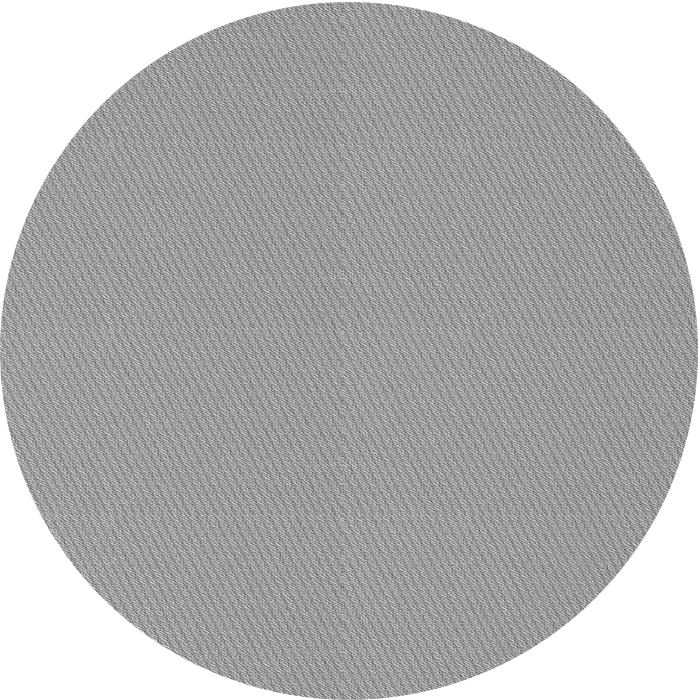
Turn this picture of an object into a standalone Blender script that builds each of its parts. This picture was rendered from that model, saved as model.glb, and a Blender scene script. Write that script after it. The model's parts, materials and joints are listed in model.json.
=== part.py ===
"""Round collapsible backdrop panel, 1.5 m across, hung upright.

Two cloths are stretched over one spring steel hoop, which lies in a sewn casing
behind the rim. The front faces -Y, +X is the right-hand side seen from the front,
and +Z is up. The panel hangs by a ring that stands up behind the top of the rim.
The origin is where a hook bears, at the top of the ring's inside.

The hoop and cloths bend elastically about upright lines when the panel is folded.
Seven upright strips, joined by six hinge lines, carry that bend, so the cloths,
the casing and the hoop are each cut at those lines.
"""

import math

import bmesh
import bpy
from mathutils import Matrix, Vector

MM = 0.001

# Rim and cloth
DISC_RADIUS = 750 * MM
CLOTH = 0.5 * MM
LAYER_GAP = 0.3 * MM
RING_STEPS = 144
FRONT_FACE_Y = -4.0 * MM

# Fold: hinge lines on each side of the middle, and the slit that lets each fold turn 40 degrees
FOLD_LINES = (80 * MM, 240 * MM, 400 * MM)
FOLD_SLIT = 3.2 * MM
SIDE_ARC_HALF = 280 * MM

# Spring steel hoop, a flat strip standing on edge, and the joint that closes it
HOOP_WIDTH = 4.5 * MM
HOOP_THICKNESS = 0.8 * MM
HOOP_OUTER_INSET = 1.75 * MM
HOOP_END_GAP = 0.6 * MM
FERRULE_WALL = 0.5 * MM
FERRULE_LENGTH = 50 * MM
SLEEVE_WALL = 0.35 * MM
SLEEVE_LENGTH = 64 * MM
CLOSE_FIT = 0.1 * MM
CRIMP_RADIUS = 1.6 * MM
CRIMP_DEPTH = 0.25 * MM
CRIMP_OFFSETS = (-18 * MM, -9 * MM, 9 * MM, 18 * MM)

# Casing tape behind the rim: it runs level over the hoop, then slopes to its stitched edge
CASING_BACK_Y = 4.0 * MM
CASING_CORNER = 0.4 * MM
CASING_LEVEL = 5 * MM
CASING_SEAM = 20 * MM
CASING_WIDTH = 22.5 * MM
REVERSE_INSET = 7 * MM

# Hanger: a webbing patch sewn below the casing, a folded tab that swings on it, and a ring
WEBBING_WIDTH = 15 * MM
WEBBING_THICKNESS = 1.0 * MM
PATCH_LENGTH = 22 * MM
TAB_HINGE_DROP = 24 * MM
TAB_HINGE_Y = 6.2 * MM
TAB_LENGTH = 8.7 * MM
TAB_SLIT = 0.1 * MM
TAB_SLIT_END = 4.5 * MM
RING_WIRE_RADIUS = 1.25 * MM
RING_HALF_WIDTH = 10 * MM
RING_CORNER = 2 * MM
RING_CLEARANCE = 0.15 * MM

LABEL_SIZE = (30 * MM, 18 * MM)
LABEL_THICKNESS = 0.3 * MM
LABEL_X = -160 * MM

HOOK_ABOVE_BAR = RING_CORNER + RING_HALF_WIDTH - RING_WIRE_RADIUS
HOOK_DROP = TAB_HINGE_DROP - TAB_LENGTH - HOOK_ABOVE_BAR
DISC_CENTRE = Vector((0, -TAB_HINGE_Y, HOOK_DROP - DISC_RADIUS))
REVERSE_FRONT_Y = FRONT_FACE_Y + CLOTH + LAYER_GAP
SEAM_Y = REVERSE_FRONT_Y + CLOTH + LAYER_GAP + CLOTH


def clear_scene():
    for obj in list(bpy.data.objects):
        bpy.data.objects.remove(obj)


def new_collection(name):
    collection = bpy.data.collections.new(name)
    bpy.context.scene.collection.children.link(collection)
    return collection


def new_material(name, colour, roughness, metallic=0.0):
    material = bpy.data.materials.new(name)
    material.use_nodes = True
    shader = material.node_tree.nodes["Principled BSDF"]
    shader.inputs["Base Color"].default_value = (*colour, 1)
    shader.inputs["Roughness"].default_value = roughness
    shader.inputs["Metallic"].default_value = metallic
    return material


clear_scene()
PANEL = new_collection("collapsible_backdrop_panel")
CUTTERS = new_collection("cutters")

PRINTED_CLOTH = new_material("printed_cloth", (0.33, 0.33, 0.33), 0.9)
REVERSE_CLOTH = new_material("reverse_cloth", (0.05, 0.05, 0.055), 0.85)
CASING_TAPE = new_material("casing_tape", (0.20, 0.20, 0.20), 0.85)
SPRING_STEEL = new_material("spring_steel", (0.25, 0.27, 0.32), 0.35, 1.0)
PLATED_STEEL = new_material("plated_steel", (0.70, 0.70, 0.68), 0.25, 1.0)
SHRINK_TUBE = new_material("shrink_tube", (0.02, 0.02, 0.02), 0.5)
WEBBING = new_material("webbing", (0.03, 0.03, 0.03), 0.8)
LABEL_SATIN = new_material("label_satin", (0.80, 0.80, 0.78), 0.5)


def add_object(name, data, material, joint, location=DISC_CENTRE):
    """Puts a piece at a world location, carried by its joint's empty."""
    obj = bpy.data.objects.new(name, data)
    obj.data.materials.append(material)
    PANEL.objects.link(obj)
    obj.parent = joint
    obj.location = Vector(location) - joint_place(joint)
    return obj


def joint_place(joint):
    """World position of a joint's empty, which its parents' positions add up to."""
    place = Vector()
    while joint is not None:
        place += joint.location
        joint = joint.parent
    return place


def add_joint(name, place, parent=None):
    empty = bpy.data.objects.new(name, None)
    PANEL.objects.link(empty)
    empty.parent = parent
    empty.location = Vector(place) - joint_place(parent)
    return empty


def box_cutter(name, low, high):
    low, high = Vector(low), Vector(high)
    bpy.ops.mesh.primitive_cube_add(size=1)
    cutter = bpy.context.object
    cutter.name = name
    cutter.data.transform(Matrix.Translation((low + high) / 2) @ Matrix.Diagonal((*(high - low), 1)))
    return put_with_cutters(cutter)


def put_with_cutters(cutter):
    for collection in cutter.users_collection:
        collection.objects.unlink(cutter)
    CUTTERS.objects.link(cutter)
    cutter.hide_render = True
    cutter.display_type = "WIRE"
    return cutter


def add_boolean(obj, operation, cutter):
    boolean = obj.modifiers.new(operation.title(), "BOOLEAN")
    boolean.operation = operation
    boolean.object = cutter


def shade_round(mesh, angle_degrees=30):
    mesh.shade_smooth()
    mesh.set_sharp_from_angle(angle=math.radians(angle_degrees))


def disc_mesh(name, radius, front_y, thickness):
    """A flat round cloth facing along Y, centred on the panel's axis."""
    mesh = bpy.data.meshes.new(name)
    bm = bmesh.new()
    bmesh.ops.create_cone(
        bm, cap_ends=True, segments=RING_STEPS, radius1=radius, radius2=radius, depth=thickness
    )
    bmesh.ops.rotate(bm, verts=bm.verts, matrix=Matrix.Rotation(math.radians(90), 3, "X"))
    bmesh.ops.translate(bm, verts=bm.verts, vec=(0, front_y + thickness / 2, 0))
    bm.to_mesh(mesh)
    bm.free()
    shade_round(mesh)
    return mesh


def profile_mesh(name, corners):
    """A closed outline of (radius, y) corners, ready to be turned about Y."""
    mesh = bpy.data.meshes.new(name)
    edges = [(i, (i + 1) % len(corners)) for i in range(len(corners))]
    mesh.from_pydata([(r, y, 0) for r, y in corners], edges, [])
    return mesh


def turn_about_y(obj):
    screw = obj.modifiers.new("Turn", "SCREW")
    screw.axis = "Y"
    screw.angle = math.tau
    screw.steps = screw.render_steps = RING_STEPS
    screw.use_merge_vertices = True
    screw.merge_threshold = 0.00001
    screw.use_smooth_shade = True


def hoop_section(margin):
    """The hoop strip's section, grown by a margin all round."""
    high = DISC_RADIUS - HOOP_OUTER_INSET + margin
    low = high - HOOP_THICKNESS - 2 * margin
    half = HOOP_WIDTH / 2 + margin
    return [(low, -half), (low, half), (high, half), (high, -half)]


def casing_section():
    """Thin channel section: outer wall, level back over the hoop, slope to the sewn edge."""
    rim = DISC_RADIUS
    wall_front = FRONT_FACE_Y + CLOTH + LAYER_GAP
    outside = [
        (rim, wall_front),
        (rim, CASING_BACK_Y - CASING_CORNER),
        (rim - CASING_CORNER, CASING_BACK_Y),
        (rim - CASING_LEVEL, CASING_BACK_Y),
        (rim - CASING_SEAM, SEAM_Y),
        (rim - CASING_WIDTH, SEAM_Y),
    ]
    inside = [
        (rim - CASING_WIDTH, SEAM_Y - CLOTH),
        (rim - CASING_SEAM - CLOTH / 3, SEAM_Y - CLOTH),
        (rim - CASING_LEVEL - CLOTH / 3, CASING_BACK_Y - CLOTH),
        (rim - CASING_CORNER - CLOTH / 3, CASING_BACK_Y - CLOTH),
        (rim - CLOTH, CASING_BACK_Y - CASING_CORNER - CLOTH / 3),
        (rim - CLOTH, wall_front),
    ]
    return (outside + inside)[::-1]


def strips():
    """Each strip's name, its left and right cut, from left to right seen from the front."""
    edge = DISC_RADIUS + FOLD_SLIT
    lines = [-edge, *(-x for x in reversed(FOLD_LINES)), *FOLD_LINES, edge]
    names = ["left_3", "left_2", "left_1", "centre", "right_1", "right_2", "right_3"]
    half = FOLD_SLIT / 2
    return [(name, low + half, high - half) for name, low, high in zip(names, lines, lines[1:])]


def strip_joints():
    """An empty on each strip's hinge line. The middle strip is the one that is held."""
    middle = DISC_CENTRE
    joints = {"centre": add_joint("centre", middle)}
    for side, sign in (("left", -1), ("right", 1)):
        inward = joints["centre"]
        for number, line in enumerate(FOLD_LINES, start=1):
            name = f"{side}_{number}"
            inward = add_joint(name, middle + Vector((sign * line, 0, 0)), inward)
            joints[name] = inward
    return joints


def add_cloths(joints):
    front = disc_mesh("front_cloth", DISC_RADIUS, FRONT_FACE_Y, CLOTH)
    reverse = disc_mesh("reverse_cloth", DISC_RADIUS - REVERSE_INSET, REVERSE_FRONT_Y, CLOTH)
    reach = 2 * DISC_RADIUS
    for strip, low, high in strips():
        cutter = box_cutter(f"cut_{strip}", (low, -reach, -reach), (high, reach, reach))
        for part, mesh, material in (
            ("front_cloth", front, PRINTED_CLOTH),
            ("reverse_cloth", reverse, REVERSE_CLOTH),
        ):
            cloth = add_object(f"{part}_{strip}", mesh, material, joints[strip])
            add_boolean(cloth, "INTERSECT", cutter)


def add_rim_arcs(part, section, material, joints):
    """One part that follows the rim, cut into an arc at the top and bottom of each strip.

    On an end strip the casing has a third arc round the side of the panel, between the other
    two, and the hoop is one arc from top to bottom.
    """
    profile = profile_mesh(part, section)
    reach = 2 * DISC_RADIUS
    middle = DISC_CENTRE.z
    for strip, low, high in strips():
        top_from = bottom_to = middle
        if strip.endswith("3"):
            top_from += SIDE_ARC_HALF + LAYER_GAP / 2
            bottom_to -= SIDE_ARC_HALF + LAYER_GAP / 2
        spans = [("_top", low, high, top_from, reach), ("_bottom", low, high, -reach, bottom_to)]
        if strip.endswith("3"):
            spans.append(("_side", low, high, bottom_to + LAYER_GAP, top_from - LAYER_GAP))
        if strip.endswith("3") and part == "hoop":
            spans = [("", low, high, -reach, reach)]
        if part == "hoop" and strip == "centre":
            end = HOOP_END_GAP / 2
            spans[1:2] = [
                ("_bottom_left", low, -end, -reach, middle),
                ("_bottom_right", end, high, -reach, middle),
            ]
        for where, x0, x1, z0, z1 in spans:
            arc = add_object(f"{part}_{strip}{where}", profile, material, joints[strip])
            turn_about_y(arc)
            cutter = box_cutter(f"cut_{arc.name}", (x0, -reach, z0), (x1, reach, z1))
            add_boolean(arc, "INTERSECT", cutter)


def ring_cutter(name, section):
    cutter = bpy.data.objects.new(name, profile_mesh(name, section))
    bpy.context.scene.collection.objects.link(cutter)
    cutter.location = DISC_CENTRE
    turn_about_y(cutter)
    return put_with_cutters(cutter)


def add_hoop_tube(name, inner_margin, wall, length, material, joint):
    """A short tube that follows the hoop across its joint at the bottom of the rim."""
    reach = 2 * DISC_RADIUS
    profile = profile_mesh(name, hoop_section(inner_margin + wall))
    tube = add_object(name, profile, material, joint)
    turn_about_y(tube)
    span = box_cutter(f"cut_{name}", (-length / 2, -reach, -reach), (length / 2, reach, DISC_CENTRE.z))
    add_boolean(tube, "INTERSECT", span)
    add_boolean(tube, "DIFFERENCE", ring_cutter(f"bore_{name}", hoop_section(inner_margin)))
    return tube


def add_hoop_joint(joint):
    """The crimped ferrule that holds the hoop's two ends, and the tube shrunk over it."""
    ferrule = add_hoop_tube("hoop_ferrule", CLOSE_FIT, FERRULE_WALL, FERRULE_LENGTH, PLATED_STEEL, joint)
    back = HOOP_WIDTH / 2 + CLOSE_FIT + FERRULE_WALL
    middle_radius = DISC_RADIUS - HOOP_OUTER_INSET - HOOP_THICKNESS / 2
    for number, x in enumerate(CRIMP_OFFSETS, start=1):
        drop = math.sqrt(middle_radius**2 - x**2)
        for side in (-1, 1):
            bpy.ops.mesh.primitive_uv_sphere_add(segments=12, ring_count=8, radius=CRIMP_RADIUS)
            dent = put_with_cutters(bpy.context.object)
            dent.name = f"crimp_{number}_{'front' if side < 0 else 'back'}"
            dent.location = DISC_CENTRE + Vector((x, side * (back + CRIMP_RADIUS - CRIMP_DEPTH), -drop))
            add_boolean(ferrule, "DIFFERENCE", dent)
    margin = CLOSE_FIT + FERRULE_WALL + CLOSE_FIT
    add_hoop_tube("hoop_shrink_sleeve", margin, SLEEVE_WALL, SLEEVE_LENGTH, SHRINK_TUBE, joint)


def radial_place(x, drop, y):
    """Point at x along the rim, dropped inwards from it, with the angle there."""
    inward = DISC_RADIUS - drop
    angle = math.asin(x / inward)
    return DISC_CENTRE + Vector((x, y, inward * math.cos(angle))), angle


def arc_points(centre, radius, start, end, steps):
    angles = (start + (end - start) * step / steps for step in range(steps + 1))
    return [(centre[0] + radius * math.cos(a), centre[1] + radius * math.sin(a)) for a in angles]


def add_outline(curve, points):
    spline = curve.splines.new("POLY")
    spline.points.add(len(points) - 1)
    for point, (x, y) in zip(spline.points, points):
        point.co = (x, y, 0, 1)
    spline.use_cyclic_u = True


def add_webbing(name, outlines, joint, place):
    """Webbing drawn from its side, as (back, up) outlines, and as wide as the webbing."""
    curve = bpy.data.curves.new(name, "CURVE")
    curve.dimensions = "2D"
    curve.fill_mode = "BOTH"
    curve.extrude = WEBBING_WIDTH / 2
    for outline in outlines:
        add_outline(curve, outline)
    webbing = add_object(name, curve, WEBBING, joint, place)
    webbing.rotation_euler = (math.radians(90), 0, math.radians(90))
    return webbing


def patch_outline():
    """Side view from the hinge: sewn flat below the casing, turned out to the hinge on top."""
    front = REVERSE_FRONT_Y + CLOTH + LAYER_GAP - TAB_HINGE_Y
    back = front + WEBBING_THICKNESS
    lip = -(TAB_SLIT / 2 + WEBBING_THICKNESS + LAYER_GAP)
    half = WEBBING_THICKNESS / 2
    sewn = [(front, half), (front, -PATCH_LENGTH), (back, -PATCH_LENGTH), (back, -half)]
    return sewn + [(lip, -half), (lip, half)]


def tab_outlines():
    """Side view from the hinge: two plies side by side, folded round the ring's bar above."""
    bar = (0, TAB_LENGTH)
    hole = RING_WIRE_RADIUS + RING_CLEARANCE
    neck = TAB_SLIT / 2 + WEBBING_THICKNESS
    outside = arc_points((0, 0), neck, math.pi, math.tau, 10)
    outside += arc_points(bar, hole + WEBBING_THICKNESS, 0, math.pi, 16)
    inside = [(-TAB_SLIT / 2, TAB_SLIT_END), (TAB_SLIT / 2, TAB_SLIT_END)]
    inside += arc_points(bar, hole, math.radians(-50), math.radians(230), 24)
    return outside, inside


def ring_outline():
    """The ring's wire seen from behind, from the middle of its bar: a bar below a round bow."""
    straight = RING_HALF_WIDTH - RING_CORNER
    quarter = math.pi / 2
    right = arc_points((straight, RING_CORNER), RING_CORNER, -quarter, 0, 5)
    bow = arc_points((0, RING_CORNER), RING_HALF_WIDTH, 0, math.pi, 24)
    left = arc_points((-straight, RING_CORNER), RING_CORNER, math.pi, math.pi + quarter, 5)
    return right[:-1] + bow + left[1:]


def add_hanger(centre):
    """Webbing patch and tab sewn behind the top of the rim, with a steel ring in the tab."""
    hinge, _ = radial_place(0, TAB_HINGE_DROP, TAB_HINGE_Y)
    add_webbing("hanger_patch", [patch_outline()], centre, hinge)
    tab_joint = add_joint("hanger_tab_joint", hinge, centre)
    add_webbing("hanger_tab", tab_outlines(), tab_joint, hinge)
    bar = hinge + Vector((0, 0, TAB_LENGTH))
    ring_joint = add_joint("hanger_ring_joint", bar, tab_joint)
    curve = bpy.data.curves.new("hanger_ring", "CURVE")
    curve.dimensions = "3D"
    curve.bevel_depth = RING_WIRE_RADIUS
    curve.bevel_resolution = 2
    add_outline(curve, ring_outline())
    ring = add_object("hanger_ring", curve, PLATED_STEEL, ring_joint, bar)
    ring.rotation_euler = (math.radians(90), 0, 0)


def add_label(strip):
    """Blank care label caught under the casing's sewn edge."""
    width, height = LABEL_SIZE
    drop = CASING_WIDTH + height / 2 + LAYER_GAP
    lift = REVERSE_FRONT_Y + CLOTH + LAYER_GAP + LABEL_THICKNESS / 2
    place, angle = radial_place(LABEL_X, drop, lift)
    bpy.ops.mesh.primitive_cube_add(size=1)
    mesh = bpy.context.object.data
    bpy.data.objects.remove(bpy.context.object)
    mesh.transform(Matrix.Diagonal((width, LABEL_THICKNESS, height, 1)))
    label = add_object("care_label", mesh, LABEL_SATIN, strip, place)
    label.rotation_euler = (0, angle, 0)


def build_panel():
    joints = strip_joints()
    add_cloths(joints)
    add_rim_arcs("casing", casing_section(), CASING_TAPE, joints)
    add_rim_arcs("hoop", hoop_section(0), SPRING_STEEL, joints)
    add_hoop_joint(joints["centre"])
    add_hanger(joints["centre"])
    add_label(joints["left_1"])


build_panel()
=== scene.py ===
"""Looks of the round collapsible backdrop panel: cloths, casing, stitching, hanger, print and light.

Lengths are in metres. The front faces -Y and +Z is up. Each cloth, the casing, the hoop and the
stitching is made as one round thing, in three pieces on each side, and every piece spans one hinge
line of the frame. UV maps hold each surface's own flat measure in metres, so the weave and print
stay put on the cloth when it bends.
"""

import json
import math

import bmesh
import bpy
import numpy as np
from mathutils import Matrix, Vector


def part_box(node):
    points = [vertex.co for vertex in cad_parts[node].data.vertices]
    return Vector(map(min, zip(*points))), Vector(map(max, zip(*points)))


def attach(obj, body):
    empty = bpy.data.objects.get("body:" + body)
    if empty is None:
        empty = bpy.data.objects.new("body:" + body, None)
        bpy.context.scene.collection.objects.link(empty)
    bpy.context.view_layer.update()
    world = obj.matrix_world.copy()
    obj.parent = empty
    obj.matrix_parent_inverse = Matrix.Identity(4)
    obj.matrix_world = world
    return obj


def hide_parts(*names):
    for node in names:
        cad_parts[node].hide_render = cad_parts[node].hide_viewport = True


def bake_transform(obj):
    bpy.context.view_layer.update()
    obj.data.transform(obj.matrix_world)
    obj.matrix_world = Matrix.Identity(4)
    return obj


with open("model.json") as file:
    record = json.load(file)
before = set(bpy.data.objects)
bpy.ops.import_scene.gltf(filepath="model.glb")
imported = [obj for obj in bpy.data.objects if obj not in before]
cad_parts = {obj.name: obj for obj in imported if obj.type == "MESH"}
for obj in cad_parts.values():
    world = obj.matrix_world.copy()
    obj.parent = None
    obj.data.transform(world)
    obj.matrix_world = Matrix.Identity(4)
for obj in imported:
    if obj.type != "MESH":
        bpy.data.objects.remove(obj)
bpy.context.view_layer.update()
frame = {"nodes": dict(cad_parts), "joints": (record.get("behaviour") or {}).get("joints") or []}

MM = 0.001
JOINTS = {joint["name"]: joint for joint in frame["joints"]}
SIGNS = {"left": -1, "right": 1}


def box_of(node):
    low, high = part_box(node)
    return low, high, (low + high) / 2


FACE_LOW, FACE_HIGH, FACE_MIDDLE = box_of("front_cloth_centre")
HOOP_LOW, HOOP_HIGH, HOOP_MIDDLE = box_of("hoop_centre_top")
CASING_HIGH = box_of("casing_centre_top")[1]
REVERSE_LOW, REVERSE_HIGH, _ = box_of("reverse_cloth_centre")

RADIUS = (FACE_HIGH.z - FACE_LOW.z) / 2
CENTRE = Vector((0, HOOP_MIDDLE.y, FACE_MIDDLE.z))
FRONT = FACE_LOW.y - CENTRE.y
BACK = CASING_HIGH.y - CENTRE.y
REVERSE_BACK = REVERSE_HIGH.y - CENTRE.y
REVERSE_RADIUS = (REVERSE_HIGH.z - REVERSE_LOW.z) / 2

# Columns of mesh round the rim, counted from the top or bottom towards the side
QUARTER = 240
PIECE_COLUMNS = ((0, 33), (33, 67), (67, QUARTER))
COLUMN_ANGLE = math.pi / 2 / QUARTER
FRONT_ROWS = 49
REVERSE_ROWS = 193

# The front cloth's turned edge
EDGE_TURN = 0.9 * MM
EDGE_DEPTH = 2.2 * MM

# Casing tape: where it starts to slope down to the cloth, its two rows of stitches, its inner edge
TAPE_THICKNESS = 0.5 * MM
CASING_LEVEL = 5 * MM
SEAM_DROPS = (19.4 * MM, 21.4 * MM)
CASING_WIDTH = 22.5 * MM
SEAM = REVERSE_BACK + 0.85 * MM

# How far from its centre a fan of drag lines in the reverse cloth is highest
DRAG_PEAK = 0.34
# Where the fans start, in radii: (across, up, lines, height)
DRAG_FANS = (
    (-0.78, 0.80, 44, 2.7 * MM),
    (0.95, 0.42, 38, 2.4 * MM),
    (-0.35, -1.08, 46, 2.5 * MM),
    (0.72, -0.86, 40, 2.2 * MM),
    (0.20, 1.12, 34, 2.0 * MM),
)

STITCH_PITCH = 3.6 * MM
THREAD_RADIUS = 0.19 * MM
EDGE_THREAD_RADIUS = 0.13 * MM

STRAP_THICKNESS = 1.0 * MM

LABEL_WIDTH = 30 * MM
LABEL_HEIGHT = 18 * MM
LABEL_TUCK = 1.5 * MM
LABEL_THICKNESS = 0.16 * MM

# Print: an enlarged twill, in a rectangle repeated over the cloth. Slopes are in degrees.
PRINT_WIDTH = 0.511 * 2 * RADIUS
PRINT_HEIGHT = 0.2675 * 2 * RADIUS
PRINT_CORNER = (-14 * MM, 47 * MM)
RIB_PITCH = 17.44 * MM
RIB_SLOPE = 63.3
ROW_PITCH = 13.55 * MM
GRAIN_SLOPE = 35.4
# The printed twill as waves: (times across a rib, times up a row, size, shift in degrees)
RIB_WAVES = ((1, 0, 0.058, 0), (2, 0, 0.040, -149), (3, 0, 0.025, -125))
YARN_WAVES = ((2, 2, 0.188, 0), (1, 2, 0.046, -67), (3, 2, 0.076, 144), (0, 2, 0.030, 27))
CROSS_WAVES = (
    (2, 1, 0.099, -32),
    (1, 1, 0.021, -28),
    (3, 1, 0.050, 82),
    (3, -1, 0.045, -94),
    (2, -1, 0.031, 130),
)
FLECK = 2.1 * MM
FLECK_STRETCH = 2.2
FLECK_STEP = 2.2 * MM
PRINT_SHADE = 0.2395
PRINT_CONTRAST = 3.0
PRINT_CURVE = 1.4

# Light and room
SKY_LIGHT = 0.35
SKY_SEEN = 1.1
SUN_POWER = 2.5
FLOOR_HALF = 30
FLOOR_GAP = 0.45
# Soft round lights that face the panel: (name, place from its middle, size, power)
LIGHTS = (
    ("key", (-5.0, -8.0, 3.0), 4.0, 147),
    ("fill", (5.0, -8.0, 3.0), 4.0, 157),
    ("rear", (-5.5, 2.2, 3.4), 1.2, 420),
)
# Camera: its view in degrees, the share of the view that the panel fills, and how far right of the
# panel's axis and above it the camera stands
VIEW_ANGLE = 14
PANEL_SHARE = 698.3 / 700
CAMERA_ASIDE = 2.15 * MM


# ---------------------------------------------------------------- materials


class Material:
    """A node material, with short ways to add and join nodes."""

    def __init__(self, name, colour, roughness, metallic=0.0):
        self.material = bpy.data.materials.new(name)
        self.material.use_nodes = True
        self.tree = self.material.node_tree
        self.shader = self.tree.nodes["Principled BSDF"]
        self.shader.inputs["Base Color"].default_value = (*colour, 1)
        self.shader.inputs["Roughness"].default_value = roughness
        self.shader.inputs["Metallic"].default_value = metallic

    def join(self, value, socket):
        if isinstance(value, bpy.types.NodeSocket):
            self.tree.links.new(value, socket)
        else:
            socket.default_value = value

    def node(self, kind, inputs=(), **settings):
        node = self.tree.nodes.new(kind)
        for name, value in settings.items():
            setattr(node, name, value)
        for name, value in dict(inputs).items():
            self.join(value, node.inputs[name])
        return node

    def math(self, operation, *values):
        node = self.tree.nodes.new("ShaderNodeMath")
        node.operation = operation
        for value, socket in zip(values, node.inputs):
            self.join(value, socket)
        return node.outputs[0]

    def add(self, *values):
        total = values[0]
        for value in values[1:]:
            total = self.math("ADD", total, value)
        return total

    def times(self, *values):
        total = values[0]
        for value in values[1:]:
            total = self.math("MULTIPLY", total, value)
        return total

    def uv(self):
        return self.node("ShaderNodeUVMap", uv_map="UVMap").outputs["UV"]

    def place(self):
        return self.node("ShaderNodeTexCoord").outputs["Object"]

    def split(self, vector):
        node = self.node("ShaderNodeSeparateXYZ", {"Vector": vector})
        return node.outputs["X"], node.outputs["Y"], node.outputs["Z"]

    def vector(self, x, y, z=0.0):
        return self.node("ShaderNodeCombineXYZ", {"X": x, "Y": y, "Z": z}).outputs["Vector"]

    def stretched(self, vector, across, up):
        """Coordinates multiplied by across and up, which makes a pattern finer that way."""
        u, v, _ = self.split(vector)
        return self.vector(self.times(u, across), self.times(v, up))

    def noise(self, vector, size, detail=0.0, roughness=0.5):
        """Smooth random values about 0.5, with features about as large as size."""
        inputs = {"Vector": vector, "Scale": 1 / size, "Detail": detail, "Roughness": roughness}
        return self.node("ShaderNodeTexNoise", inputs).outputs["Fac"]

    def flecks(self, vector, size):
        """A random value for each small cell of an irregular mosaic."""
        node = self.node("ShaderNodeTexVoronoi", {"Vector": vector, "Scale": 1 / size})
        colour = self.node("ShaderNodeSeparateColor", {"Color": node.outputs["Color"]})
        return colour.outputs["Red"]

    def cosine(self, turns, shift=0.0):
        """Cosine of a phase given in turns, moved by a shift in radians."""
        return self.math("COSINE", self.math("MULTIPLY_ADD", turns, math.tau, shift))

    def ripple(self, turns):
        """Wave between 0 and 1 over a phase in turns."""
        return self.math("MULTIPLY_ADD", self.cosine(turns), 0.5, 0.5)

    def blend_colours(self, factor, first, second):
        node = self.node("ShaderNodeMix", data_type="RGBA")
        self.join(factor, node.inputs[0])
        self.join((*first, 1), node.inputs[6])
        self.join((*second, 1), node.inputs[7])
        return node.outputs[2]

    def colour(self, socket):
        self.join(socket, self.shader.inputs["Base Color"])

    def roughness(self, value, gain, base):
        self.join(self.math("MULTIPLY_ADD", value, gain, base), self.shader.inputs["Roughness"])

    def bump(self, height, depth, strength=1.0):
        """Relief of the given depth in metres, from a height of 0 to 1."""
        node = self.node("ShaderNodeBump", {"Height": height, "Distance": depth, "Strength": strength})
        self.join(node.outputs["Normal"], self.shader.inputs["Normal"])

    def sheen(self, weight, roughness=0.5):
        self.shader.inputs["Sheen Weight"].default_value = weight
        self.shader.inputs["Sheen Roughness"].default_value = roughness


def along(material, x, z, slope, pitch):
    """Turns counted across lines that run down to the right at a slope in degrees."""
    angle = math.radians(slope)
    rise = material.times(z, -math.cos(angle) / pitch)
    return material.math("MULTIPLY_ADD", x, -math.sin(angle) / pitch, rise)


def yarn_grain(material, x, z):
    """Coordinates that run along and across the printed yarns, drawn out along them."""
    angle = math.radians(GRAIN_SLOPE)
    ahead = material.math("MULTIPLY_ADD", x, math.cos(angle), material.times(z, -math.sin(angle)))
    across = material.math("MULTIPLY_ADD", x, math.sin(angle), material.times(z, math.cos(angle)))
    return material.vector(material.times(ahead, 1 / FLECK_STRETCH), across)


def relief(material, vector, step):
    """Random flecks with their opposite shade a step to either side, as raised fibres have."""
    sides = []
    for operation in ("ADD", "SUBTRACT"):
        moved = material.node("ShaderNodeVectorMath", {0: vector, 1: step}, operation=operation)
        sides.append(material.flecks(moved.outputs[0], FLECK))
    return material.math("MULTIPLY_ADD", material.add(*sides), -0.5, material.flecks(vector, FLECK))


def waves(material, rib, row, table):
    """Sum of the cosine waves in a table, over phases counted in ribs and rows."""
    total = 0.0
    for ribs, rows, size, shift in table:
        phase = material.math("MULTIPLY_ADD", rib, float(ribs), material.times(row, float(rows)))
        wave = material.cosine(phase, math.radians(shift))
        total = material.math("MULTIPLY_ADD", wave, size, total)
    return total


def plain_weave(material, vector, pitch):
    """Height of a plain weave: yarns over and under each other, a pitch apart both ways."""
    u, v, _ = material.split(vector)
    across = material.cosine(material.times(u, 0.5 / pitch))
    up = material.cosine(material.times(v, 0.5 / pitch))
    over = material.times(across, up)
    return material.math("MULTIPLY_ADD", over, 0.5, 0.5)


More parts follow.
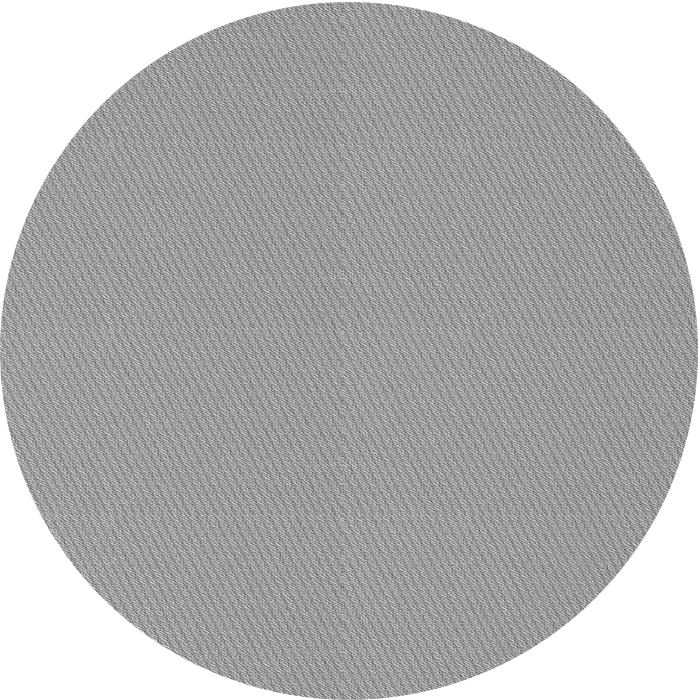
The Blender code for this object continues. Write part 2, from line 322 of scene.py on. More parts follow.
def printed_cloth():
    """Ribs and slanted dashes of an enlarged twill, with flecks, on a fine plain weave."""
    material = Material("printed_cloth", (0.33, 0.33, 0.33), 0.92)
    uv = material.uv()
    x, z, _ = material.split(uv)
    across = material.math("FRACT", material.times(material.add(x, -PRINT_CORNER[0]), 1 / PRINT_WIDTH))
    up = material.math("FRACT", material.times(material.add(z, -PRINT_CORNER[1]), 1 / PRINT_HEIGHT))
    u = material.times(across, PRINT_WIDTH)
    v = material.times(up, PRINT_HEIGHT)
    flat = material.vector(u, v)

    wander = material.add(material.noise(flat, 22 * MM, 1.0), -0.5)
    jitter = material.add(material.noise(flat, 9 * MM, 1.0), -0.5)
    rib = material.math("MULTIPLY_ADD", wander, 0.25, along(material, u, v, RIB_SLOPE, RIB_PITCH))
    row = material.math("MULTIPLY_ADD", jitter, 0.12, along(material, u, v, 0.0, ROW_PITCH))
    slub = material.times(material.noise(flat, 4 * MM, 2.0), 2.0)
    ribs = waves(material, rib, row, RIB_WAVES)
    yarns = material.times(waves(material, rib, row, YARN_WAVES), slub)
    crossing = waves(material, rib, row, CROSS_WAVES)
    floats = material.times(relief(material, yarn_grain(material, u, v), (0.0, FLECK_STEP, 0.0)), 0.245)
    fine = material.times(relief(material, flat, (FLECK_STEP, 0.0, 0.0)), 0.25)
    # Each printed rectangle is a little darker at its right and lighter at its top
    darker = material.times(material.add(across, -0.5), -0.0125)
    lighter = material.times(material.add(up, -0.5), 0.004)
    total = material.add(ribs, yarns, crossing, floats, fine, material.add(darker, lighter))
    tone = material.math("MULTIPLY_ADD", total, PRINT_CONTRAST, 1.0)
    tone = material.math("MINIMUM", material.math("MAXIMUM", tone, 0.06), 2.5)
    shade = material.times(material.math("POWER", tone, PRINT_CURVE), PRINT_SHADE)
    # A trace less red keeps the grey neutral
    material.colour(material.vector(material.times(shade, 0.991), shade, shade))
    material.bump(plain_weave(material, uv, 0.45 * MM), 0.05 * MM, 0.5)
    material.sheen(0.05)
    return material.material


def reverse_cloth():
    """Plain charcoal cloth, a little mottled and creased."""
    material = Material("reverse_cloth", (0.05, 0.05, 0.055), 0.8)
    uv = material.uv()
    mottle = material.noise(uv, 60 * MM, 4.0, 0.6)
    material.colour(material.blend_colours(mottle, (0.038, 0.038, 0.042), (0.060, 0.060, 0.065)))
    weave = plain_weave(material, uv, 0.5 * MM)
    slub = material.noise(material.stretched(uv, 1.0, 14.0), 14 * MM, 2.0)
    fine = material.add(weave, material.times(slub, 0.6))
    # Faint creases left by folding: the lines where two slow noises cross their middle value
    long_crease = material.math("ABSOLUTE", material.add(material.noise(uv, 210 * MM, 1.5), -0.5))
    short_crease = material.math("ABSOLUTE", material.add(material.noise(uv, 85 * MM, 2.0), -0.5))
    creases = material.add(
        material.math("MINIMUM", material.times(long_crease, 16.0), 1.0),
        material.times(material.math("MINIMUM", material.times(short_crease, 9.0), 1.0), 0.45),
    )
    material.bump(material.add(material.times(fine, 0.13), creases), 0.9 * MM, 0.7)
    material.roughness(mottle, 0.15, 0.46)
    material.sheen(0.10)
    return material.material


def casing_tape():
    """Grosgrain tape: u runs along the tape and v across it, with ribs across."""
    material = Material("casing_tape", (0.2, 0.2, 0.2), 0.85)
    uv = material.uv()
    u, v, _ = material.split(uv)
    ribs = material.ripple(material.times(u, 1 / (1.1 * MM)))
    fibres = material.noise(material.vector(material.times(u, 4.0), v), 1.2 * MM, 2.0)
    wear = material.noise(uv, 35 * MM, 3.0)
    # Tone: random wear, plus painted shade that darkens the valleys between the ribs and lightens their tops
    shade = material.math("MULTIPLY_ADD", ribs, 0.35, material.times(wear, 0.65))
    material.colour(material.blend_colours(shade, (0.155, 0.155, 0.155), (0.235, 0.235, 0.235)))
    material.bump(material.add(material.times(ribs, 0.8), material.times(fibres, 0.5)), 0.22 * MM, 0.8)
    material.sheen(0.1)
    return material.material


def thread(name, colour):
    """Twisted thread: u runs along it and v round it."""
    material = Material(name, colour, 0.6)
    u, v, _ = material.split(material.uv())
    shade = material.ripple(material.add(material.times(u, 1 / (0.5 * MM)), v))
    # Painted shade: the grooves of the twist are darker, following the same ripple as the bump
    groove_shade = tuple(0.6 * c for c in colour)
    material.colour(material.blend_colours(shade, groove_shade, colour))
    material.bump(shade, 0.05 * MM, 0.8)
    material.sheen(0.2)
    return material.material


def webbing():
    """Nylon webbing: u across its width, v along it, with a chevron twill."""
    material = Material("webbing", (0.03, 0.03, 0.03), 0.6)
    uv = material.uv()
    u, v, _ = material.split(uv)
    stripe = material.math("FRACT", material.times(u, 1 / (5 * MM)))
    fold = material.math("ABSOLUTE", material.add(stripe, -0.5))
    rib = material.ripple(material.add(material.times(fold, 4.0), material.times(v, 1 / (1.25 * MM))))
    ends = material.ripple(material.times(u, 1 / (0.62 * MM)))
    fuzz = material.noise(uv, 1.5 * MM, 3.0)
    height = material.add(material.times(rib, 0.7), material.times(ends, 0.4))
    # Painted shade: the low parts of the weave are darker and the raised parts lighter, following the bump's
    # height
    shade = material.times(height, 0.9)
    material.colour(material.blend_colours(shade, (0.012, 0.012, 0.013), (0.05, 0.05, 0.052)))
    material.bump(material.add(height, material.times(fuzz, 0.2)), 0.2 * MM, 0.9)
    material.roughness(fuzz, 0.2, 0.5)
    material.sheen(0.2)
    return material.material


def metal(name, colour, roughness, scratch, tint=None):
    """Metal clouded with a tint, or with a darker shade, and finely scratched one way."""
    material = Material(name, colour, roughness, 1.0)
    place = material.place()
    cloud = material.noise(place, 6 * MM, 3.0)
    fine = material.noise(material.stretched(place, 30.0, 1.0), 12 * MM, 3.0)
    material.colour(material.blend_colours(cloud, colour, tint or tuple(0.85 * c for c in colour)))
    material.roughness(fine, scratch, roughness - scratch / 2)
    material.bump(fine, 0.01 * MM, 0.3)
    return material.material


def shrink_tube():
    material = Material("shrink_tube", (0.02, 0.02, 0.02), 0.45)
    cloud = material.noise(material.place(), 4 * MM, 3.0)
    material.colour(material.blend_colours(cloud, (0.014, 0.014, 0.014), (0.03, 0.03, 0.03)))
    material.roughness(cloud, 0.2, 0.35)
    material.bump(cloud, 0.1 * MM, 0.5)
    return material.material


def label_satin():
    material = Material("label_satin", (0.8, 0.8, 0.78), 0.35)
    uv = material.uv()
    _, v, _ = material.split(uv)
    threads = material.ripple(material.times(v, 1 / (0.3 * MM)))
    soil = material.noise(uv, 8 * MM, 3.0)
    material.colour(material.blend_colours(soil, (0.84, 0.84, 0.82), (0.72, 0.72, 0.69)))
    material.bump(threads, 0.04 * MM, 0.6)
    material.roughness(soil, 0.15, 0.3)
    material.sheen(0.2)
    return material.material


PRINT = printed_cloth()
REVERSE = reverse_cloth()
TAPE = casing_tape()
GREY_THREAD = thread("grey_thread", (0.34, 0.34, 0.34))
BLACK_THREAD = thread("black_thread", (0.05, 0.05, 0.05))
WEBBING = webbing()
BLUED = metal("spring_steel", (0.16, 0.19, 0.27), 0.32, 0.15, (0.22, 0.20, 0.24))
PLATED = metal("plated_steel", (0.72, 0.72, 0.70), 0.22, 0.12)
SHRINK = shrink_tube()
SATIN = label_satin()


# ---------------------------------------------------------------- mesh helpers


def add_object(name, data):
    obj = bpy.data.objects.new(name, data)
    bpy.context.scene.collection.objects.link(obj)
    return obj


def new_piece(name, mesh, material):
    """Puts a mesh into the scene under its piece's name, with its material and slot."""
    obj = add_object(name, mesh)
    mesh.materials.append(material)
    return obj


def set_uvs(mesh, uvs):
    """Gives each corner of a face the uv of its vertex."""
    layer = mesh.uv_layers.new(name="UVMap")
    loops = np.zeros(len(mesh.loops), int)
    mesh.loops.foreach_get("vertex_index", loops)
    layer.data.foreach_set("uv", uvs[loops].astype(np.float32).ravel())


def grid(name, points, uvs):
    """A smooth quad mesh from points[i, j], with uvs[i, j]. Points that meet are joined."""
    rows, cols = points.shape[:2]
    index = np.arange(rows * cols).reshape(rows, cols)
    corners = [index[:-1, :-1], index[1:, :-1], index[1:, 1:], index[:-1, 1:]]
    faces = np.stack(corners, axis=-1).reshape(-1, 4)
    mesh = bpy.data.meshes.new(name)
    mesh.from_pydata(points.reshape(-1, 3).tolist(), [], faces.tolist())
    set_uvs(mesh, uvs.reshape(-1, 2))
    weld(mesh, 1e-6)
    mesh.shade_smooth()
    return mesh


def weld(mesh, distance):
    """Joins points closer than a distance and drops the faces that this leaves without area."""
    bm = bmesh.new()
    bm.from_mesh(mesh)
    bmesh.ops.remove_doubles(bm, verts=bm.verts, dist=distance)
    flat = [face for face in bm.faces if face.calc_area() < 1e-12]
    bmesh.ops.delete(bm, geom=flat, context="FACES")
    bm.to_mesh(mesh)
    bm.free()


def smooth_noise(values, scale, seed):
    """Repeatable smooth random curve over a line of positions, between -1 and 1."""
    rng = np.random.default_rng(seed)
    total = np.zeros_like(values)
    count = 12
    for octave in range(3):
        size = scale / 2**octave
        for phase, pitch in zip(rng.uniform(0, math.tau, count), rng.uniform(0.7, 1.4, count)):
            total = total + np.cos(values / (size * pitch) * math.tau + phase) / count / 1.6**octave
    return total * 1.6


def lengths_along(points):
    """Length along a line of points, from its first point to each."""
    steps = np.linalg.norm(np.diff(points, axis=0), axis=1)
    return np.concatenate([[0], np.cumsum(steps)])


def column_angles(first, last, fine=1):
    """Angles from the panel's upright line, for columns first to last."""
    return np.linspace(first, last, (last - first) * fine + 1) * COLUMN_ANGLE


def arcs(number, fine=1):
    """The rim angles, clockwise from the top, that a piece covers: one arc, or two."""
    first, last = PIECE_COLUMNS[number - 1]
    if last == QUARTER:
        return [column_angles(first, 2 * QUARTER - first, fine)]
    return [column_angles(first, last, fine), column_angles(2 * QUARTER - last, 2 * QUARTER - first, fine)]


def bend(piece):
    """Bakes a piece's placement into its mesh."""
    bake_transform(piece)


def nodes_like(part, side, number):
    """CAD nodes of one part in the strips that a piece stands for."""
    strips = [f"{side}_{number}"] + (["centre"] if number == 1 else [])
    starts = tuple(f"{part}_{strip}" for strip in strips)
    return [node for node in frame["nodes"] if node.startswith(starts)]


def lathe(name, profile, number, sign, fine=1, shift=None, spans=None):
    """Part of a ring about the panel's axis, from (radius, y) points. shift moves the points.

    It covers the piece's own arcs, or the spans of rim angles given instead.
    """
    profile = np.array(profile)
    across = lengths_along(profile)
    meshes = []
    for angles in spans or arcs(number, fine):
        count = len(angles)
        radius = np.tile(profile[:, :1], count)
        depth = np.tile(profile[:, 1:], count)
        run = np.tile(sign * angles * RADIUS, (len(profile), 1))
        if shift is not None:
            radius, depth = shift(radius, depth, run)
        x = CENTRE.x + sign * radius * np.sin(angles)
        z = CENTRE.z + radius * np.cos(angles)
        points = np.stack([x, CENTRE.y + depth, z], axis=-1)
        uvs = np.stack([run, np.tile(across[:, None], count)], axis=-1)
        if sign > 0:
            points, uvs = points[::-1], uvs[::-1]
        meshes.append(grid(name, points, uvs))
    return merged(name, meshes)


def merged(name, meshes):
    """One mesh out of several, which keep their uvs and smoothing."""
    if len(meshes) == 1:
        return meshes[0]
    bm = bmesh.new()
    for mesh in meshes:
        bm.from_mesh(mesh)
    out = bpy.data.meshes.new(name)
    bm.to_mesh(out)
    bm.free()
    for mesh in meshes:
        bpy.data.meshes.remove(mesh)
    return out


def rounded(centre, radius, start, end, steps):
    """Points on an arc, from start to end in degrees."""
    angles = np.radians(np.linspace(start, end, steps + 1))
    return [(centre[0] + radius * math.cos(a), centre[1] + radius * math.sin(a)) for a in angles]


def rounded_box(inner, outer, half, ease, steps):
    """Closed section between two radii and half a depth to each side, with eased corners."""
    profile = rounded((outer - ease, -half + ease), ease, -90, 0, steps)
    profile += rounded((outer - ease, half - ease), ease, 0, 90, steps)
    profile += rounded((inner + ease, half - ease), ease, 90, 180, steps)
    profile += rounded((inner + ease, -half + ease), ease, 180, 270, steps)
    return profile + profile[:1]


# ---------------------------------------------------------------- cloths, casing and hoop


def front_edge():
    """The front cloth's turned edge, outwards from the face, as (radius, y)."""
    corner = (RADIUS - EDGE_TURN, FRONT + EDGE_TURN)
    end = FRONT + EDGE_DEPTH
    points = rounded(corner, EDGE_TURN, -90, 0, 6)
    points += [(RADIUS, end - 0.15 * MM), (RADIUS - 0.1 * MM, end), (RADIUS - 0.5 * MM, end)]
    return np.array(points)


def front_cloth(side, number, sign):
    """Flat printed face with its edge turned back over the rim."""
    edge = front_edge()
    flat_radius = edge[0, 0]
    developed = flat_radius + lengths_along(edge)
    rows = np.linspace(1, -1, FRONT_ROWS)[1:-1]
    columns = []
    for angle in column_angles(*PIECE_COLUMNS[number - 1]):
        out, up = sign * math.sin(angle), math.cos(angle)
        x, half = flat_radius * out, flat_radius * up
        turned = [((r * out, y, r * up), (d * out, d * up)) for (r, y), d in zip(edge, developed)]
        face = [((x, FRONT, half * t), (x, half * t)) for t in rows]
        below = [((px, py, -pz), (u, -v)) for (px, py, pz), (u, v) in turned]
        columns.append(turned[::-1] + face + below)
    points = np.array([[p for p, _ in column] for column in columns]) + np.array(CENTRE)
    uvs = np.array([[uv for _, uv in column] for column in columns])
    if sign < 0:
        points, uvs = points[::-1], uvs[::-1]
    mesh = grid(f"front_cloth_{side}_{number}", points, uvs)
    piece = new_piece(f"cloth_front_{side}_{number}", mesh, PRINT)
    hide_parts(*nodes_like("front_cloth", side, number))
    bend(piece)


def slack(x, z):
    """How far the reverse cloth stands off, backwards, at a place on the panel."""
    from_seam = RADIUS - SEAM_DROPS[1] - np.hypot(x, z)
    turn = np.arctan2(x, z)
    rise = np.clip((from_seam - 24 * MM) / (110 * MM), 0, 1)
    rise = rise * rise * (3 - 2 * rise)
    swell = 0.5 + 0.5 * np.sin(x / 0.19 + 1.0 + 0.6 * np.sin(z / 0.33)) * np.cos(z / 0.27 + 0.4)
    # Soft drag lines that fan out from places where the frame pulls harder
    drag = np.zeros_like(x)
    for side, up, lines, height in DRAG_FANS:
        dx, dz = x - side * RADIUS, z - up * RADIUS
        away = np.hypot(dx, dz)
        bearing = np.arctan2(dx, dz)
        sway = 1.1 * np.sin(bearing * 7 + side) + 0.5 * np.sin(away / 0.13)
        crest = 0.5 + 0.5 * np.cos(bearing * lines + sway)
        patchy = 0.55 + 0.45 * np.sin(bearing * 5 + 3 * up + away / 0.24)
        share = away / DRAG_PEAK
        drag += height * crest**2 * patchy * share**1.5 * np.exp(1.5 * (1 - share))
    # Short puckers that fade from the stitching, but not under the hanger and the label
    fade = np.exp(-np.clip(from_seam, 0, None) / (50 * MM)) * np.clip(from_seam / (10 * MM), 0, 1)
    gathers = smooth_noise(turn * RADIUS, 52 * MM, 11) + 0.35
    for place, half in ((0.0, 34 * MM), (-160 * MM, 48 * MM)):
        near = np.exp(-((np.abs(x - place) / half) ** 4)) * (z > 0) * (from_seam < 90 * MM)
        fade = fade * (1 - near)
    return rise * (1.5 * MM * swell + drag) + 1.5 * MM * gathers * fade


def reverse_piece(side, number, sign):
    """The plain cloth behind, stretched a little less than the front."""
    angles = column_angles(*PIECE_COLUMNS[number - 1])[:, None]
    rows = np.linspace(1, -1, REVERSE_ROWS)[None, :]
    x = sign * REVERSE_RADIUS * np.sin(angles) * np.ones_like(rows)
    z = REVERSE_RADIUS * np.cos(angles) * rows
    y = REVERSE_BACK + 0.1 * MM + np.maximum(slack(x, z), -0.1 * MM)
    points = np.stack([x + CENTRE.x, y + CENTRE.y, z + CENTRE.z], axis=-1)
    uvs = np.stack([x, z], axis=-1)
    if sign > 0:
        points, uvs = points[::-1], uvs[::-1]
    mesh = grid(f"reverse_cloth_{side}_{number}", points, uvs)
    piece = new_piece(f"cloth_reverse_{side}_{number}", mesh, REVERSE)
    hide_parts(*nodes_like("reverse_cloth", side, number))
    bend(piece)


def casing_profile():
    """Casing tape, from under the front cloth's turned edge to its folded inner edge."""
    wall = RADIUS - 0.35 * MM
    corner = 0.9 * MM
    points = [(wall, FRONT + 1.2 * MM), (wall, FRONT + 2.6 * MM), (wall, 0)]
    points += rounded((wall - corner, BACK - corner), corner, 0, 90, 5)
    level = BACK - 0.1 * MM
    points += [(RADIUS - 3 * MM, BACK), (RADIUS - CASING_LEVEL, level)]
    outer_row, inner_row = SEAM_DROPS
    for drop in np.linspace(CASING_LEVEL, outer_row, 8)[1:]:
        share = (drop - CASING_LEVEL) / (outer_row - CASING_LEVEL)
        sag = 0.55 * MM * math.sin(math.pi * share)
        points.append((RADIUS - drop, level - (level - SEAM) * share - sag))
    points += [(RADIUS - outer_row - 1 * MM, SEAM + 0.15 * MM), (RADIUS - inner_row, SEAM)]
    lip = TAPE_THICKNESS / 2
    points += rounded((RADIUS - CASING_WIDTH + lip, SEAM - lip), lip, 90, 270, 6)
    points.append((RADIUS - outer_row, SEAM - 2 * lip))
    return points


def casing_shift(radius, depth, run):
    """Puckers at the stitching, soft waves between stitches and hoop, and the bump over the ferrule."""
    drop = RADIUS - radius
    hem = np.clip((drop - 8 * MM) / (10 * MM), 0, 1)
    puckers = smooth_noise(run, 34 * MM, 5) * 0.16 * MM + smooth_noise(run, 13 * MM, 6) * 0.09 * MM
    level = np.clip((drop - 2 * MM) / (3 * MM), 0, 1) * (1 - hem)
    soft = smooth_noise(run, 90 * MM, 7) * 0.15 * MM
    from_bottom = np.abs(np.abs(run) - math.pi * RADIUS)
    ferrule = np.clip((32 * MM - from_bottom) / (8 * MM), 0, 1)
    behind = np.clip((depth + 1 * MM) / (3 * MM), 0, 1)
    bump = ferrule * ferrule * (3 - 2 * ferrule) * 0.3 * MM * behind
    edge = np.clip((drop - 20 * MM) / (2 * MM), 0, 1) * smooth_noise(run, 21 * MM, 8) * 0.25 * MM
    return radius + edge, depth + hem * puckers + level * soft + bump


def casing_piece(side, number, sign):
    """The tape that wraps the hoop behind the front cloth's edge."""
    name = f"casing_tape_{side}_{number}"
    profile = casing_profile()
    mesh = lathe(name, profile, number, sign, fine=3, shift=casing_shift)
    piece = new_piece(name, mesh, TAPE)
    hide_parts(*nodes_like("casing", side, number))
    bend(piece)


def hoop_piece(side, number, sign):
    """The hoop's flat strip with eased edges, standing on edge in the casing."""
    outer = HOOP_HIGH.z - CENTRE.z
    inner = math.hypot(HOOP_LOW.z - CENTRE.z, (HOOP_HIGH.x - HOOP_LOW.x) / 2)
    half = (HOOP_HIGH.y - HOOP_LOW.y) / 2
    profile = rounded_box(inner, outer, half, 0.15 * MM, 3)
    name = f"hoop_band_{side}_{number}"
    piece = new_piece(name, lathe(name, profile, number, sign), BLUED)
    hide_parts(*nodes_like("hoop", side, number))
    bend(piece)


def hoop_cover(node, side, material, slot, reach, scale):
    """Half of a tube round the hoop's joint at the bottom.

    scale is the tube's girth at each reach inwards from its end, as a share of its full girth.
    """
    low, high, _ = box_of(node)
    sign = SIGNS[side]
    outer = CENTRE.z - low.z
    length = (high.x - low.x) / 2
    half = (high.y - low.y) / 2
    inner = math.hypot(CENTRE.z - high.z, length)
    middle = (outer + inner) / 2
    profile = rounded_box(inner, outer, half, min(half, 0.5 * MM), 4)

    def girth(radius, depth, run):
        from_end = length - np.abs(np.abs(run) - math.pi * RADIUS)
        size = np.interp(from_end, reach, scale)
        return middle + (radius - middle) * size, depth * size

    places = np.concatenate([reach, np.linspace(reach[-1] + 2 * MM, length, 9)])
    angles = math.pi - (length - places) / RADIUS
    mesh = lathe(f"{slot}_{side}", profile, 1, sign, shift=girth, spans=[angles])
    piece = new_piece(f"{node}_{side}", mesh, material)
    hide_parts(node)
    bend(piece)


# ---------------------------------------------------------------- stitching


def stitches(name, spots, length, radius=THREAD_RADIUS, sides=6):
    """Threads that come up through the cloth and go down again.

    Each spot is (place, direction along the stitch, direction out of the cloth).
    """
    stations = np.array([-0.5, -0.36, -0.12, 0.12, 0.36, 0.5])
    rise = np.array([-1.0, 0.25, 0.75, 0.75, 0.25, -1.0]) * radius
    turns = np.linspace(0, math.tau, sides, endpoint=False)
    ring = np.arange(sides)
    following = np.roll(ring, -1)
    verts, faces, uvs = [], [], []
    for spot, ahead, out in spots:
        side = np.cross(ahead, out)
        base = len(verts)
        for s, lift in zip(stations, rise):
            middle = spot + ahead * s * length + out * lift
            for a in turns:
                verts.append(middle + radius * (math.cos(a) * side + math.sin(a) * out))
                uvs.append((s * length, a / math.tau))
        for k in range(len(stations) - 1):
            low, high = base + k * sides, base + (k + 1) * sides
            faces += [(low + i, low + j, high + j, high + i) for i, j in zip(ring, following)]
    mesh = bpy.data.meshes.new(name)
    mesh.from_pydata([tuple(v) for v in verts], [], faces)
    set_uvs(mesh, np.array(uvs))
    mesh.shade_smooth()
    return mesh


def rim_spots(number, sign, radius, depth, out_radial, out_back, offset):
    """Evenly spaced stitches along the rim, inside one piece's arcs."""
    step = math.tau / int(round(math.tau * radius / STITCH_PITCH))
    spots = []
    for angles in arcs(number):
        # The small number leaves a stitch that falls on the end of an arc to the next piece
        first = math.ceil(angles[0] / step - offset)
        last = math.floor(angles[-1] / step - offset - 1e-9)
        for k in range(first, last + 1):
            angle = (k + offset) * step
            out = np.array([sign * math.sin(angle), 0, math.cos(angle)])
            ahead = np.array([sign * math.cos(angle), 0, -math.sin(angle)])
            place = np.array(CENTRE) + out * radius + np.array([0, depth, 0])
            spots.append((place, ahead, out * out_radial + np.array([0, out_back, 0])))
    return spots


def stitching_piece(side, number, sign):
    """Two rows that hold the casing down, and the fine row that joins it to the front cloth."""
    hem = []
    for row, (drop, lift) in enumerate(zip(SEAM_DROPS, (0.22 * MM, 0.12 * MM))):
        hem += rim_spots(number, sign, RADIUS - drop, SEAM + lift, 0, 1, 0.25 + 0.5 * row)
    name = f"hem_stitches_{side}_{number}"
    piece = new_piece(name, stitches(name, hem, STITCH_PITCH * 0.82), GREY_THREAD)
    bend(piece)
    edge = rim_spots(number, sign, RADIUS, FRONT + EDGE_DEPTH - 0.75 * MM, 1, 0, 0.5)
    name = f"edge_stitches_{side}_{number}"
    mesh = stitches(name, edge, STITCH_PITCH * 0.8, EDGE_THREAD_RADIUS, 5)
    piece = new_piece(name, mesh, GREY_THREAD)
    bend(piece)


# ---------------------------------------------------------------- hanger and label


def band(name, path, width, thickness):
    """A flat band swept along a (y, z) path, with rounded edges. u is across it and v along it."""
    ahead = np.gradient(path, axis=0)
    ahead /= np.linalg.norm(ahead, axis=1)[:, None]
    normal = np.stack([-ahead[:, 1], ahead[:, 0]], axis=1)
    half, thin = width / 2, thickness / 2
    edge = rounded((half - thin, 0), thin, -90, 90, 6)
    section = edge + [(-x, -y) for x, y in edge] + edge[:1]
    points, uvs = [], []
    for (y, z), (ny, nz), v in zip(path, normal, lengths_along(path)):
        points.append([(CENTRE.x + sx, y + ny * sy, z + nz * sy) for sx, sy in section])
        uvs.append([(sx, v) for sx, _ in section])
    return grid(name, np.array(points), np.array(uvs))


def smooth_path(points, steps):
    """Catmull-Rom curve through points."""
    points = [np.array(p, float) for p in points]
    padded = [2 * points[0] - points[1], *points, 2 * points[-1] - points[-2]]
    out = []
    for a, b, c, d in zip(padded, padded[1:], padded[2:], padded[3:]):
        for t in np.linspace(0, 1, steps, endpoint=False):
            square, cube = 2 * a - 5 * b + 4 * c - d, 3 * b - a - 3 * c + d
            out.append(0.5 * (2 * b + (c - a) * t + square * t**2 + cube * t**3))
    out.append(points[-1])
    return np.array(out)


def hanger():
    """Webbing sewn down behind the top of the rim, with a loop that holds the ring."""
    tab = Vector(JOINTS["tab_swing"]["pos_m"])
    bar = Vector(JOINTS["ring_swing"]["pos_m"])
    ring_low, ring_high, _ = box_of("hanger_ring")
    foot = box_of("hanger_patch")[0].z
    strap_low, strap_high, _ = box_of("hanger_tab")
    width = strap_high.x - strap_low.x
    wire = (ring_high.y - ring_low.y) / 2
    cloth = CENTRE.y + REVERSE_BACK + 1.1 * MM
    ply = STRAP_THICKNESS
    wrap = wire + ply / 2 + 0.05 * MM
    # The ply against the panel, the turn round the ring's bar, and the ply that lies on the first
    lead = [(cloth + ply * 0.55, foot), (cloth + ply * 0.55, foot + 8 * MM)]
    lead += [(cloth + ply * 0.6, tab.z - 6 * MM), (cloth + 1.8 * MM, tab.z - 2.5 * MM)]
    lead += [(tab.y - 3.4 * MM, tab.z + 1.8 * MM), (bar.y - wrap, bar.z - 1.5 * MM)]
    turn = rounded((bar.y, bar.z), wrap, 180, 0, 11)
    tail = [(bar.y + wrap, bar.z - 1.5 * MM), (tab.y - 1.9 * MM, tab.z + 1.4 * MM)]
    tail += [(cloth + ply * 1.65 + 1.6 * MM, tab.z - 2.9 * MM), (cloth + ply * 1.7, tab.z - 6.3 * MM)]
    tail += [(cloth + ply * 1.65, foot + 8 * MM), (cloth + ply * 1.6, foot + 1.2 * MM)]
    path = np.concatenate([smooth_path(lead, 8), np.array(turn), smooth_path(tail, 8)])
    strap = new_piece("hanger_strap", band("hanger_strap", path, width, ply), WEBBING)
    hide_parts("hanger_patch", "hanger_tab")
    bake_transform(strap)

    spots = box_stitch(width / 2 - 1.6 * MM, cloth + ply * 2.15, foot + 3.2 * MM, tab.z - 7.2 * MM)
    mesh = stitches("hanger_stitches", spots, 1.9 * MM)
    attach(new_piece("hanger_stitches", mesh, BLACK_THREAD), "strip_centre")
    d_ring(bar, wire, ring_low, ring_high)


def box_stitch(half, y, low, high):
    """Places of the stitches of a rectangle and both its diagonals."""
    a, b, c, d = (-half, low), (half, low), (half, high), (-half, high)
    spots = []
    for start, end in ((a, b), (b, c), (c, d), (d, a), (a, c), (b, d)):
        run = np.array([end[0] - start[0], 0, end[1] - start[1]])
        length = np.linalg.norm(run)
        count = max(2, round(length / (2.2 * MM)))
        for i in range(count):
            place = np.array([start[0], y, start[1]]) + run * (i + 0.5) / count
            spots.append((place, run / length, np.array([0, 1.0, 0])))
    return spots


def d_ring(bar, wire, low, high):
    """The hanging ring: a straight bar, tight corners and a round bow, bent from one wire."""
    half = (high.x - low.x) / 2 - wire
    corner = 2 * MM
    straight = half - corner
    line = [(x, 0.0) for x in np.linspace(0, straight, 8)[:-1]]
    line += rounded((straight, corner), corner, -90, 0, 10)[:-1]
    line += rounded((0, corner), half, 0, 180, 64)[:-1]
    line += rounded((-straight, corner), corner, 180, 270, 10)[:-1]
    line += [(x, 0.0) for x in np.linspace(-straight, 0, 8)]
    line = np.array(line)
    ahead = np.gradient(line, axis=0)
    ahead[0] = ahead[-1] = (1, 0)
    ahead /= np.linalg.norm(ahead, axis=1)[:, None]
    side = np.stack([ahead[:, 1], -ahead[:, 0]], axis=1)
    run = lengths_along(line)
    turn = np.linspace(0, math.tau, 25)
    # The wire is a little thinner where its ends are welded, in the middle of the bar
    neck = 1 - 0.08 * np.exp(-((np.minimum(run, run[-1] - run) / (0.35 * MM)) ** 2))
    points = []
    for (x, z), (sx, sz), girth in zip(line, side, wire * neck):
        across, back = girth * np.cos(turn), girth * np.sin(turn)
        points.append(np.stack([bar.x + x + sx * across, bar.y + back, bar.z + z + sz * across], axis=-1))
    uvs = [[(wire * a, r) for a in turn] for r in run]
    mesh = grid("d_ring", np.array(points), np.array(uvs))
    ring = new_piece("d_ring", mesh, PLATED)
    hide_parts("hanger_ring")
    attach(ring, "hanger_ring")


def care_label():
    """Blank satin label, caught under the casing's edge and curling a little off the cloth."""
    middle = box_of("care_label")[2]
    across = math.hypot(middle.x - CENTRE.x, middle.z - CENTRE.z)
    angle = math.atan2(middle.x - CENTRE.x, middle.z - CENTRE.z)
    half = LABEL_WIDTH / 2
    top = LABEL_HEIGHT / 2
    vs, us = np.meshgrid(np.linspace(top + LABEL_TUCK, -top, 40), np.linspace(half, -half, 25), indexing="ij")
    free = np.clip((top - vs) / LABEL_HEIGHT, 0, 1)
    under = np.clip((vs - top + 1.6 * MM) / (1.6 * MM), 0, 1)
    curl = 2.4 * MM * free**2 + 1.1 * MM * free * (us / half) ** 2 - 0.17 * MM * under
    x = CENTRE.x + us * math.cos(angle) + (across + vs) * math.sin(angle)
    y = CENTRE.y + REVERSE_BACK + 0.27 * MM + curl
    z = CENTRE.z - us * math.sin(angle) + (across + vs) * math.cos(angle)
    mesh = grid("label_satin_piece", np.stack([x, y, z], axis=-1), np.stack([us, vs], axis=-1))
    label = new_piece("label_blank", mesh, SATIN)
    solid = label.modifiers.new("Thickness", "SOLIDIFY")
    solid.thickness = LABEL_THICKNESS
    solid.offset = 0
    apply_modifiers(label)
    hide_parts("care_label")
    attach(label, "strip_left_1")


def apply_modifiers(obj):
    """Turns an object's modifiers into its mesh."""
    evaluated = obj.evaluated_get(bpy.context.evaluated_depsgraph_get())
    mesh = bpy.data.meshes.new_from_object(evaluated)
    obj.modifiers.clear()
    obj.data = mesh


# ---------------------------------------------------------------- room, light and camera


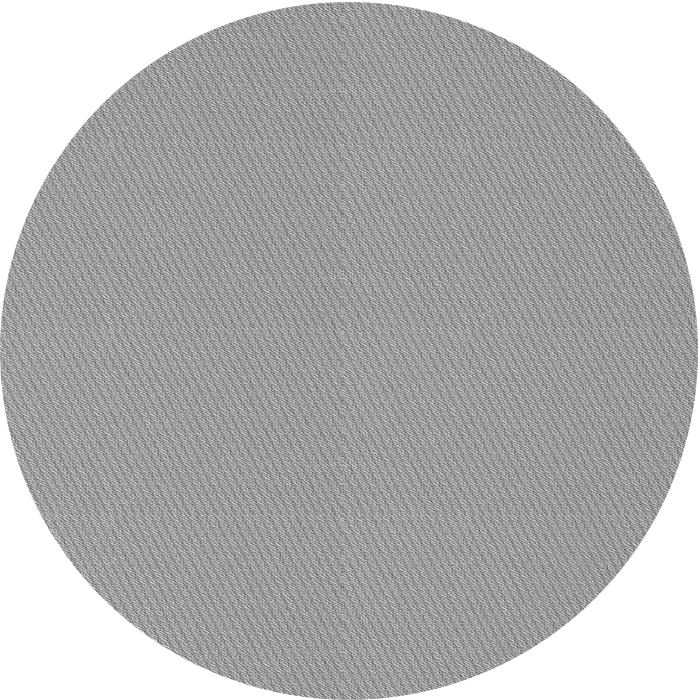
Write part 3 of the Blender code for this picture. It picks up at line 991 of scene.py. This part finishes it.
def set_room():
    """White world, brighter to the camera than as a light, and a pale floor."""
    scene = bpy.context.scene
    scene.view_settings.view_transform = "Standard"
    scene.view_settings.look = "None"
    scene.view_settings.exposure = 0
    scene.view_settings.gamma = 1
    world = bpy.data.worlds.new("studio")
    scene.world = world
    world.use_nodes = True
    tree = world.node_tree
    light = tree.nodes["Background"]
    seen = tree.nodes.new("ShaderNodeBackground")
    for background, strength in ((light, SKY_LIGHT), (seen, SKY_SEEN)):
        background.inputs["Color"].default_value = (1, 1, 1, 1)
        background.inputs["Strength"].default_value = strength
    path = tree.nodes.new("ShaderNodeLightPath")
    mix = tree.nodes.new("ShaderNodeMixShader")
    tree.links.new(path.outputs["Is Camera Ray"], mix.inputs["Fac"])
    tree.links.new(light.outputs["Background"], mix.inputs[1])
    tree.links.new(seen.outputs["Background"], mix.inputs[2])
    tree.links.new(mix.outputs["Shader"], tree.nodes["World Output"].inputs["Surface"])

    material = Material("floor", (0.92, 0.92, 0.92), 0.9)
    cloud = material.noise(material.place(), 0.8, 2.0)
    material.colour(material.blend_colours(cloud, (0.93, 0.93, 0.93), (0.95, 0.95, 0.95)))
    mesh = bpy.data.meshes.new("floor")
    corners = [(FLOOR_HALF * x, FLOOR_HALF * y, 0) for x, y in ((-1, -1), (1, -1), (1, 1), (-1, 1))]
    mesh.from_pydata(corners, [], [(0, 1, 2, 3)])
    mesh.materials.append(material.material)
    floor = add_object("floor", mesh)
    floor.location.z = CENTRE.z - RADIUS - FLOOR_GAP


def set_lights():
    """Wide soft light straight down, which keeps the floor an even white, and three soft lamps."""
    sun = bpy.data.lights.new("overhead", "SUN")
    sun.energy = SUN_POWER
    sun.angle = math.radians(50)
    add_object("overhead", sun).location.z = CENTRE.z + 5
    for name, place, size, power in LIGHTS:
        lamp = bpy.data.lights.new(name, "AREA")
        lamp.shape = "DISK"
        lamp.size = size
        lamp.energy = power
        obj = add_object(name, lamp)
        obj.location = (place[0], place[1], CENTRE.z + place[2])
        obj.rotation_euler = (CENTRE - obj.location).to_track_quat("-Z", "Y").to_euler()


def set_camera():
    """Straight on to the face, which fills the frame. The panel sits a hair low and left in it."""
    camera = bpy.data.cameras.new("camera")
    camera.sensor_width = 36
    spread = math.tan(math.radians(VIEW_ANGLE) / 2)
    camera.lens = camera.sensor_width / 2 / spread
    camera.clip_end = 200
    distance = RADIUS / PANEL_SHARE / spread
    obj = add_object("camera", camera)
    obj.location = (CENTRE.x + CAMERA_ASIDE, CENTRE.y + FRONT - distance, CENTRE.z + CAMERA_ASIDE)
    obj.rotation_euler = (math.radians(90), 0, 0)
    bpy.context.scene.camera = obj


# ---------------------------------------------------------------- build


for side, sign in SIGNS.items():
    for number in (1, 2, 3):
        reverse_piece(side, number, sign)
        casing_piece(side, number, sign)
        hoop_piece(side, number, sign)
        stitching_piece(side, number, sign)
        front_cloth(side, number, sign)
for side in SIGNS:
    reach = np.array([0, 0.02, 0.4]) * MM
    hoop_cover("hoop_ferrule", side, PLATED, "plated_steel", reach, (0, 0.9, 1))
    reach = np.array([0, 0.02, 4.0, 6.4]) * MM
    hoop_cover("hoop_shrink_sleeve", side, SHRINK, "shrink_tube", reach, (0, 0.80, 0.84, 1))
hanger()
care_label()
set_room()
set_lights()
set_camera()
